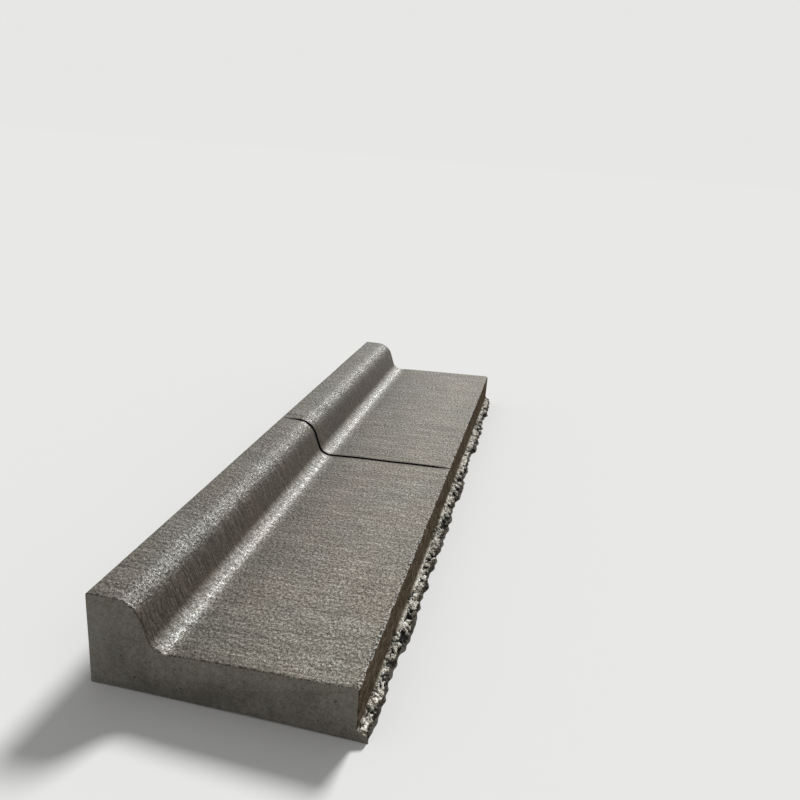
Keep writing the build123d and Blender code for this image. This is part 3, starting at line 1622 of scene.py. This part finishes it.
@dataclass(frozen=True)
class SlippedConcrete:
    """The upright faces, which the machine's side plates slid along."""

    # damp and dry: the lip's face, browner than the back, partly damp paste and partly painted warm
    # reflected light from the ground
    damp: Colour = (0.082, 0.060, 0.039)
    dry: Colour = (0.205, 0.163, 0.118)
    back_damp: Colour = (0.120, 0.109, 0.088)
    back_dry: Colour = (0.230, 0.213, 0.178)
    # hole: near black, painted shade in the small bug holes
    hole: Colour = (0.012, 0.010, 0.007)
    smear_scale: float = 22.0
    smear_squeeze: float = 1.6
    smear_share: Band = Band(0.36, 0.64)
    smear_gloss: Band = Band(0.3, 0.7, 0.6, 0.8)
    patch_size: float = 60.0 * MM
    patch_share: Band = Band(0.0, 1.0, 1.0, 0.4)
    air: Holes = Holes(24.0 * MM, 0.22)
    grain: Grain = Grain(8.0 * MM, 0.9)
    grain_bump: float = 0.4 * MM
    smear_bump: float = 1.2 * MM

    def build(self, shared: Shared) -> bpy.types.Material:
        """Makes the material.

        Args:
            shared: What the finishes share.

        Returns:
            The material.
        """
        surface = Surface("slipped_concrete", shared)
        graph, place = surface.graph, surface.unrolled
        smear = graph.noise(surface.squeezed(self.smear_squeeze), self.smear_scale, detail=3.0,
                            roughness=0.7, distortion=1.5)
        grain_tone, grain_height = surface.grain(place, self.grain)
        holes = surface.holes(place, self.air)
        dry = graph.times(graph.span(smear, self.smear_share),
                          graph.span(surface.patches(place, self.patch_size), self.patch_share))
        # Towards the lip the colour turns brown: partly damp paste, partly painted warm reflected light
        at_lip = graph.span(surface.across,
                            Band(surface.start(Stretch.TOP), surface.start(Stretch.PAN)))
        colour = graph.mix(dry, graph.mix(at_lip, self.back_damp, self.damp),
                           graph.mix(at_lip, self.back_dry, self.dry))
        # Bug holes: painted shade
        colour = graph.mix(holes, graph.shade(colour, grain_tone), self.hole)
        normal = graph.bump(grain_height, self.grain_bump)
        normal = graph.bump(graph.minus(smear, holes), self.smear_bump, normal)
        return surface.finish(base_color=colour, roughness=graph.span(smear, self.smear_gloss),
                              specular_ior_level=0.0, normal=normal)


@dataclass(frozen=True)
class CrumbledConcrete:
    """The foot, where dry crumbs of concrete hang together, with painted shade at its root and in its
    hollows, and darker towards its outer edge.
    """

    # crumb: paler than the paste, partly dry paste's own pale colour and partly painted sunlit highlight
    # on the crumbs
    crumb: Colour = (0.70, 0.669, 0.586)
    paste: Colour = (0.50, 0.473, 0.403)
    # hollow: near black, painted shade in the deep hollows between crumbs
    hollow: Colour = (0.012, 0.011, 0.009)
    hollow_depth: Band = Band(0.64, 0.88)
    patch_size: float = 50.0 * MM
    # root_tone: painted shade in the crease where the foot meets the lip's face
    root_tone: float = 0.12
    root_width: float = 8.0 * MM
    # outer_tone: the foot grows darker towards its outer edge
    outer_tone: float = 0.05
    outer_from: float = 24.0 * MM
    outer_to: float = 8.0 * MM
    outer_waver: float = 90.0 * MM
    outer_waver_size: float = 38.0 * MM
    lump_size: float = 9.0 * MM
    lump_radius: float = 0.4
    lump_depth: float = 0.35
    lump_bump: float = 2.6 * MM
    grain: Grain = Grain(5.0 * MM, 1.7)
    grain_bump: float = 1.6 * MM

    def build(self, shared: Shared) -> bpy.types.Material:
        """Makes the material.

        Args:
            shared: What the finishes share.

        Returns:
            The material.
        """
        surface = Surface("crumbled_concrete", shared)
        graph, place, start = surface.graph, surface.place, surface.start
        grain_tone, grain_height = surface.grain(place, self.grain)
        lumps = graph.cells(place, 1.0 / self.lump_size).outputs["Distance"]
        colour = graph.mix(surface.patches(place, self.patch_size), self.crumb, self.paste)
        wander = graph.noise(place, 1.0 / self.outer_waver_size, detail=3.0, roughness=0.7)
        outward = graph.times_plus(graph.minus(wander, MIDDLE), self.outer_waver, surface.across)
        # Darker towards the outer edge
        darker_outward = Band(start(Stretch.FOOT_TOP) + self.outer_from,
                    start(Stretch.FOOT_EDGE) + self.outer_to, 1.0, self.outer_tone)
        # Painted shade at the root, in the crease by the lip's face
        root = Band(start(Stretch.FOOT_ROOT), start(Stretch.FOOT_TOP) + self.root_width,
                    self.root_tone, 1.0)
        root_shade_and_outer_darkening = graph.times(graph.span(outward, darker_outward), graph.span(surface.across, root))
        colour = graph.shade(colour, graph.times(grain_tone, root_shade_and_outer_darkening))
        # Painted shade: the colour turns near black deep in the hollows and between the lumps
        between = graph.times(graph.minus(lumps, self.lump_radius), self.lump_depth)
        depth = graph.plus(graph.attribute("hollow"), between)
        colour = graph.mix(graph.span(depth, self.hollow_depth), colour, self.hollow)
        normal = graph.bump(graph.minus(1.0, lumps), self.lump_bump)
        normal = graph.bump(grain_height, self.grain_bump, normal)
        return surface.finish(base_color=colour, roughness=0.8, normal=normal)


@dataclass(frozen=True)
class FormedConcrete:
    """The ends, cast against a plain board."""

    paste: Colour = (0.250, 0.233, 0.196)
    damp: Colour = (0.175, 0.161, 0.131)
    # hole: near black, painted shade in the small bug holes
    hole: Colour = (0.026, 0.023, 0.018)
    patch_size: float = 140.0 * MM
    patch_gloss: Band = Band(0.0, 1.0, 0.72, 0.5)
    air: Holes = Holes(24.0 * MM, 0.4)
    grain: Grain = Grain(7.0 * MM, 0.45)
    grain_height: float = 0.3
    bump: float = 2.0 * MM

    def build(self, shared: Shared) -> bpy.types.Material:
        """Makes the material.

        Args:
            shared: What the finishes share.

        Returns:
            The material.
        """
        surface = Surface("formed_concrete", shared)
        graph, place = surface.graph, surface.place
        grain_tone, grain_height = surface.grain(place, self.grain)
        patches = surface.patches(place, self.patch_size)
        holes = surface.holes(place, self.air)
        colour = graph.shade(graph.mix(patches, self.paste, self.damp), grain_tone)
        height = graph.minus(graph.times(grain_height, self.grain_height), holes)
        # Bug holes: painted shade
        return surface.finish(base_color=graph.mix(holes, colour, self.hole),
                              roughness=graph.span(patches, self.patch_gloss),
                              normal=graph.bump(height, self.bump))


@dataclass
class Camera:
    """The camera, where the reference view was taken from."""

    place: tuple[float, float, float] = (0.7548, -3.1525, 1.5687)
    heading: float = 11.283
    dip: float = 18.918
    roll: float = 4.29
    focal_pixels: float = 762.6
    image_pixels: float = 800.0
    sensor: float = 36.0
    farthest: float = 200.0

    def build(self) -> None:
        """Makes the camera and looks through it."""
        data = bpy.data.cameras.new("camera")
        data.sensor_width = self.sensor
        data.lens = self.sensor * self.focal_pixels / self.image_pixels
        data.clip_end = self.farthest
        camera = bpy.data.objects.new("camera", data)
        turn = Matrix.Rotation(math.radians(self.heading), 4, "Z")
        tilt = Matrix.Rotation(math.radians(90.0 - self.dip), 4, "X")
        roll = Matrix.Rotation(math.radians(self.roll), 4, "Z")
        camera.matrix_world = Matrix.Translation(self.place) @ turn @ tilt @ roll
        bpy.context.scene.collection.objects.link(camera)
        bpy.context.scene.camera = camera
        log.info("camera at %s, lens %.2f mm", self.place, data.lens)


@dataclass
class Studio:
    """A pale floor that meets a background of its own colour, one soft key light and a fill."""

    pale: Colour = (0.80, 0.80, 0.79)
    bounce: Colour = (0.34, 0.33, 0.32)
    floor_reach: float = 60.0
    fill_colour: Colour = (1.0, 1.0, 1.0)
    fill: float = 0.34
    key: float = 3.35
    key_azimuth: float = 10.0
    key_elevation: float = 39.0
    key_angle: float = 14.0

    def build(self) -> None:
        """Makes the floor, the lights and the background."""
        self._floor()
        self._key()
        self._background()
        bpy.context.scene.view_settings.view_transform = "Standard"
        log.info("studio: floor, key light and background")

    def _seen(self, graph: Graph) -> Socket:
        """Makes a mask of where the camera, a reflection or a refraction looks.

        Args:
            graph: The nodes that it goes into.

        Returns:
            A number that is 1 there and 0 elsewhere.
        """
        path = graph.node("ShaderNodeLightPath").outputs
        seen = graph.math("MAXIMUM", path["Is Camera Ray"], path["Is Glossy Ray"])
        return graph.math("MAXIMUM", seen, path["Is Transmission Ray"])

    def _floor(self) -> None:
        """Makes the floor, pale where it is seen and plain grey to the light that it returns."""
        reach = self.floor_reach
        mesh = bpy.data.meshes.new("studio_floor")
        corners = [(-reach, -reach, 0.0), (reach, -reach, 0.0),
                   (reach, reach, 0.0), (-reach, reach, 0.0)]
        mesh.from_pydata(corners, [], [range(len(corners))])
        floor = bpy.data.objects.new("studio_floor", mesh)
        bpy.context.scene.collection.objects.link(floor)
        material = Material("studio_floor")
        colour = material.graph.mix(self._seen(material.graph), self.bounce, self.pale)
        mesh.materials.append(material.finish(
            base_color=colour, roughness=1.0, specular_ior_level=0.0))

    def _key(self) -> None:
        """Makes the soft key light, ahead of the camera and a little to the right."""
        data = bpy.data.lights.new("key_light", "SUN")
        data.energy = self.key
        data.angle = math.radians(self.key_angle)
        light = bpy.data.objects.new("key_light", data)
        azimuth, elevation = math.radians(self.key_azimuth), math.radians(self.key_elevation)
        towards = Vector((math.sin(azimuth) * math.cos(elevation),
                          math.cos(azimuth) * math.cos(elevation), math.sin(elevation)))
        light.rotation_euler = towards.to_track_quat("Z", "Y").to_euler()
        bpy.context.scene.collection.objects.link(light)

    def _background(self) -> None:
        """Makes the even fill light and the pale background."""
        world = bpy.data.worlds.new("studio")
        world.use_nodes = True
        world.node_tree.nodes.clear()
        graph = Graph(world.node_tree)
        fill, seen = (
            graph.fill(graph.node("ShaderNodeBackground"), color=colour, strength=strength)
            for colour, strength in ((self.fill_colour, self.fill), (self.pale, 1.0)))
        mixed = graph.node("ShaderNodeMixShader")
        for socket, value in zip(mixed.inputs, (self._seen(graph), fill.outputs[0], seen.outputs[0])):
            graph.feed(socket, value)
        graph.fill(graph.node("ShaderNodeOutputWorld"), surface=mixed.outputs[0])
        bpy.context.scene.world = world


def dress(casting: bpy.types.Object, starts: Starts) -> None:
    """Gives the casting its finishes, in the order of Finish.

    Args:
        casting: The mesh object.
        starts: Where the section's stretches start.
    """
    shared = Shared(sand_grain(), brush_strokes(), damp_patches(), bug_holes(), starts)
    finishes = {
        Finish.BRUSHED: BrushedConcrete(),
        Finish.GROOVED: GroovedConcrete(),
        Finish.SLIPPED: SlippedConcrete(),
        Finish.CRUMBLED: CrumbledConcrete(),
        Finish.FORMED: FormedConcrete(),
    }
    for finish in Finish:
        material = finishes[finish].build(shared)
        casting.data.materials.append(material)
        log.info("finish %s: %s", finish.name.lower(), material.name)


def main() -> None:
    """Builds the camera, the casting and the studio, in that order."""
    logging.basicConfig(level=logging.INFO, format="%(name)s: %(message)s")
    Camera().build()
    low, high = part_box(NODE)
    section = Section(back_x=low[0], foot_x=high[0], kerb_top=high[2])
    casting = Casting(section, GroovingTool(), Relief(), CrumbledFoot(), half_length=high[1])
    piece = casting.build()
    dress(piece, casting.starts)
    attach(piece, "root")
    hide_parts(NODE)
    Studio().build()


if __name__ == "__main__":
    main()
